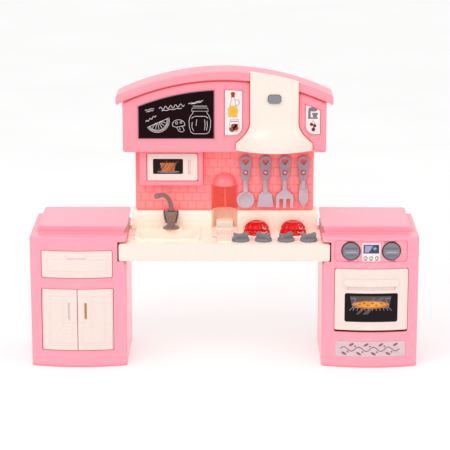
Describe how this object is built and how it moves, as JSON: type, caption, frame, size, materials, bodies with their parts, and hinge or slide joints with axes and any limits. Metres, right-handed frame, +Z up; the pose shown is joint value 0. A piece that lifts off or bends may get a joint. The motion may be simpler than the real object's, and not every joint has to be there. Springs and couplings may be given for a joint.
{
  "type": "toy kitchen",
  "caption": "Toy kitchen of pink and cream plastic: cupboard and oven cabinets joined by a counter with sink and hob, under an arched wall unit with hood and hanging utensils.",
  "frame": {"origin": "centre of the footprint on the floor, midway between the oven knobs' faces and the cabinets' backs", "axes": "+X to the right seen from the front, -Y towards the child, +Z up"},
  "size_m": [0.6, 0.1661, 0.4535],
  "materials": {
    "pink_plastic": "semi-gloss moulded plastic",
    "coral_plastic": "semi-gloss moulded plastic",
    "cream_plastic": "semi-gloss moulded plastic",
    "grey_plastic": "satin moulded plastic",
    "taupe_plastic": "semi-gloss moulded plastic",
    "lilac_plastic": "semi-gloss moulded plastic",
    "red_plastic": "clear-tinted glossy plastic",
    "dark_print": "printed self-adhesive film",
    "pale_print": "printed self-adhesive film",
    "steel": "zinc-plated"
  },
  "bodies": {
    "kitchen": {"left_cabinet_shell": "pink_plastic", "left_cabinet_back": "pink_plastic", "left_cabinet_base": "pink_plastic", "drawer_runner": "cream_plastic", "right_cabinet_shell": "pink_plastic", "right_cabinet_back": "pink_plastic", "right_cabinet_base": "pink_plastic", "oven_floor": "grey_plastic", "control_label": "pale_print", "name_label": "pale_print", "counter": "cream_plastic", "faucet_base": "taupe_plastic", "burner_left": "red_plastic", "burner_right": "red_plastic", "wall_panel": "coral_plastic", "utensil_pegs": "pink_plastic", "dispenser_canopy": "pink_plastic", "microwave_housing": "pink_plastic", "upper_cabinet": "pink_plastic", "upper_cabinet_back": "pink_plastic", "cornice": "pink_plastic", "hood": "cream_plastic", "button_spring": "steel", "blackboard": "dark_print", "jar_label": "pale_print", "mixer_label": "pale_print", "cover_screws": "steel"},
    "drawer": {"drawer": "cream_plastic"},
    "left_door": {"left_door": "cream_plastic"},
    "right_door": {"right_door": "cream_plastic"},
    "oven_door": {"oven_door": "cream_plastic", "oven_window": "dark_print"},
    "oven_knob_left": {"oven_knob_left": "grey_plastic"},
    "oven_knob_right": {"oven_knob_right": "grey_plastic"},
    "hob_knob_1": {"hob_knob_1": "grey_plastic"},
    "hob_knob_2": {"hob_knob_2": "grey_plastic"},
    "hob_knob_3": {"hob_knob_3": "grey_plastic"},
    "hob_knob_4": {"hob_knob_4": "grey_plastic"},
    "faucet": {"faucet_spout": "taupe_plastic"},
    "microwave_door": {"microwave_door": "cream_plastic", "microwave_window": "dark_print"},
    "hood_button": {"hood_button": "grey_plastic"},
    "spoon": {"spoon": "lilac_plastic"},
    "spatula": {"spatula": "lilac_plastic"},
    "fork": {"fork": "lilac_plastic"},
    "knife": {"knife": "lilac_plastic"}
  },
  "joints": [
    {"name": "drawer_slide", "type": "slide", "parent": "kitchen", "child": "drawer", "axis": [0, -1, 0], "range_m": [0, 0.088]},
    {"name": "left_door_hinge", "type": "hinge", "parent": "kitchen", "child": "left_door", "pos_m": [-0.2805, -0.06876, 0.076], "axis": [0, 0, -1], "range_deg": [0, 92]},
    {"name": "right_door_hinge", "type": "hinge", "parent": "kitchen", "child": "right_door", "pos_m": [-0.1735, -0.0694, 0.076], "axis": [0, 0, 1], "range_deg": [0, 92]},
    {"name": "oven_door_hinge", "type": "hinge", "parent": "kitchen", "child": "oven_door", "pos_m": [0.227, -0.0678, 0.0675], "axis": [1, 0, 0], "range_deg": [0, 85]},
    {"name": "oven_knob_left_turn", "type": "hinge", "parent": "kitchen", "child": "oven_knob_left", "pos_m": [0.1945, -0.072, 0.1872], "axis": [0, -1, 0], "continuous": true},
    {"name": "oven_knob_right_turn", "type": "hinge", "parent": "kitchen", "child": "oven_knob_right", "pos_m": [0.2565, -0.072, 0.1872], "axis": [0, -1, 0], "continuous": true},
    {"name": "hob_knob_1_turn", "type": "hinge", "parent": "kitchen", "child": "hob_knob_1", "pos_m": [0.0255, -0.044, 0.196], "axis": [0, 0, 1], "continuous": true},
    {"name": "hob_knob_2_turn", "type": "hinge", "parent": "kitchen", "child": "hob_knob_2", "pos_m": [0.0605, -0.044, 0.196], "axis": [0, 0, 1], "continuous": true},
    {"name": "hob_knob_3_turn", "type": "hinge", "parent": "kitchen", "child": "hob_knob_3", "pos_m": [0.0955, -0.044, 0.196], "axis": [0, 0, 1], "continuous": true},
    {"name": "hob_knob_4_turn", "type": "hinge", "parent": "kitchen", "child": "hob_knob_4", "pos_m": [0.1305, -0.044, 0.196], "axis": [0, 0, 1], "continuous": true},
    {"name": "faucet_swivel", "type": "hinge", "parent": "kitchen", "child": "faucet", "pos_m": [-0.084, 0.008, 0.225], "axis": [0, 0, 1], "range_deg": [-60, 60]},
    {"name": "microwave_door_hinge", "type": "hinge", "parent": "kitchen", "child": "microwave_door", "pos_m": [-0.1195, 0.0153, 0.3], "axis": [0, 0, -1], "range_deg": [0, 92]},
    {"name": "hood_button_press", "type": "slide", "parent": "kitchen", "child": "hood_button", "axis": [0, 1, 0], "range_m": [0, 0.002], "stiffness_N_per_m": 400},
    {"name": "spoon_lift_off", "type": "slide", "parent": "kitchen", "child": "spoon", "axis": [0, -1, 0], "range_m": [0, 0.03]},
    {"name": "spatula_lift_off", "type": "slide", "parent": "kitchen", "child": "spatula", "axis": [0, -1, 0], "range_m": [0, 0.03]},
    {"name": "fork_lift_off", "type": "slide", "parent": "kitchen", "child": "fork", "axis": [0, -1, 0], "range_m": [0, 0.03]},
    {"name": "knife_lift_off", "type": "slide", "parent": "kitchen", "child": "knife", "axis": [0, -1, 0], "range_m": [0, 0.03]}
  ]
}
